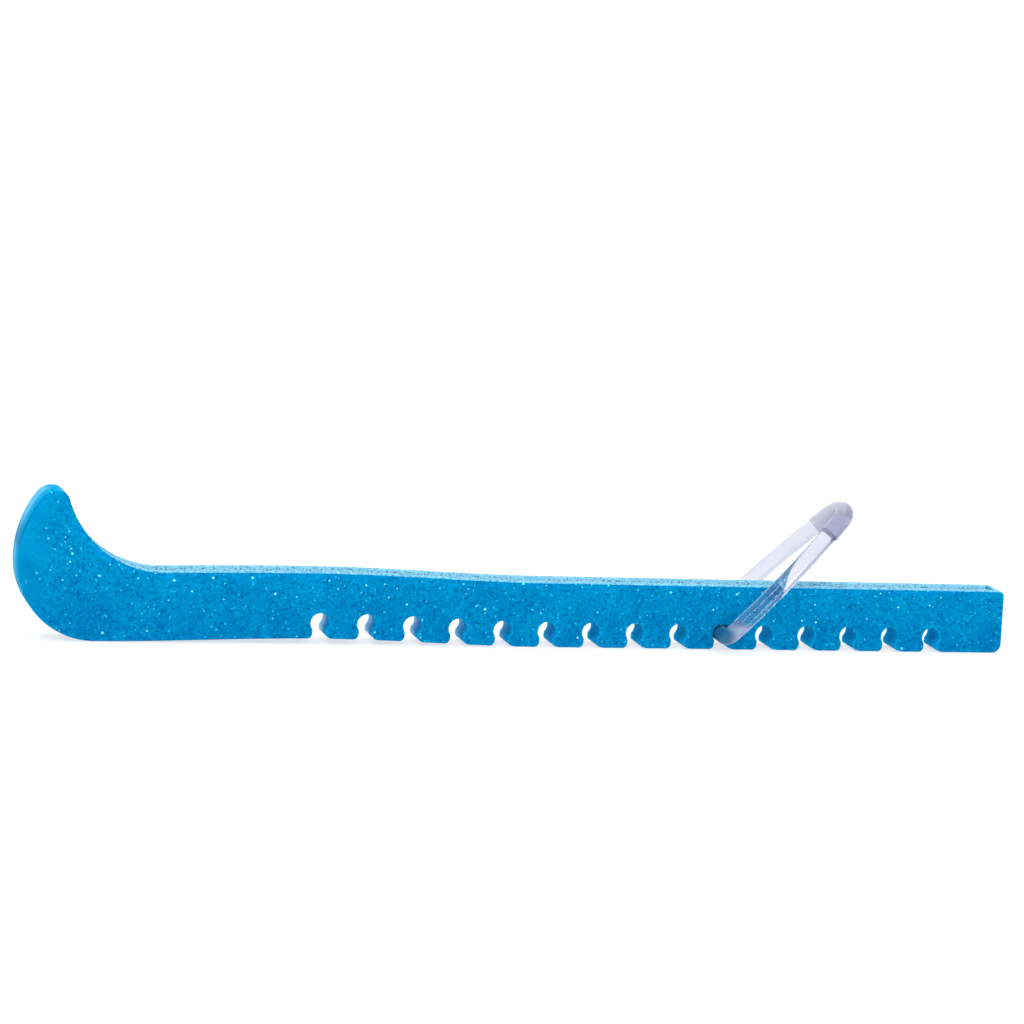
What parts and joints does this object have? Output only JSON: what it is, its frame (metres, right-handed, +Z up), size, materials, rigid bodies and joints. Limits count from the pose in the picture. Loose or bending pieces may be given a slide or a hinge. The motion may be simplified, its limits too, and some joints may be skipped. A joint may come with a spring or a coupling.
{
  "type": "ice skate blade guard",
  "caption": "Flexible blade guard with an upswept toe, a slot along its top for the blade, strap notches across its underside and a clear strap loop that swings in a notch",
  "frame": {"origin": "middle of the guard's length and width, on the surface it rests on", "axes": "-X to the toe hook, +X to the heel, Y across the guard, +Z up"},
  "size_m": [0.33, 0.0264, 0.0489],
  "materials": {
    "glitter_pvc": "gloss",
    "clear_pvc": "gloss",
    "clear_sleeve": "gloss"
  },
  "bodies": {
    "guard": {"guard_body": "glitter_pvc"},
    "strap": {"strap_cord": "clear_pvc", "strap_end_sleeve": "clear_sleeve"}
  },
  "joints": [
    {"name": "strap_swing", "type": "hinge", "parent": "guard", "child": "strap", "pos_m": [0.06444, 0, 0.0051], "axis": [0, 1, 0], "range_deg": [-107, 18]}
  ]
}
